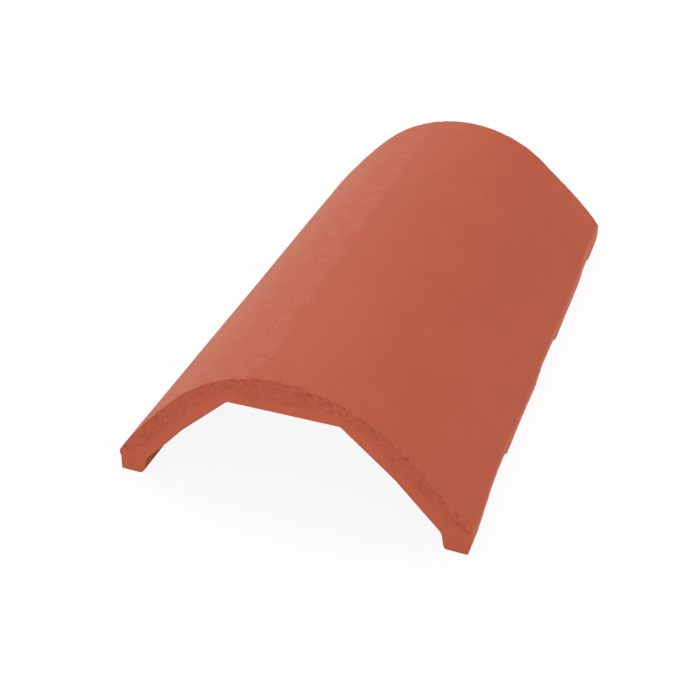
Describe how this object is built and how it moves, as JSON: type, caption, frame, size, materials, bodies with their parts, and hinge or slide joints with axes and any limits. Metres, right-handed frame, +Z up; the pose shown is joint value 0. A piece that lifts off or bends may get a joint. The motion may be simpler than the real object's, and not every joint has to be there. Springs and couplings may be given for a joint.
{
  "type": "arched clay roof tile",
  "caption": "Arched clay roof tile of constant section with a rounded back, a faceted soffit, two flat-bottomed feet and square-cut ends.",
  "frame": {"origin": "on the ground under the middle of the tile, midway between the two feet and the two ends", "axes": "+X across the tile from one foot to the other, +Y along its length, +Z up out of the crown"},
  "size_m": [0.21, 0.34, 0.087],
  "materials": {
    "clay": "matte unglazed fired red clay"
  },
  "bodies": {
    "root": {"arched_tile": "clay"}
  },
  "joints": []
}
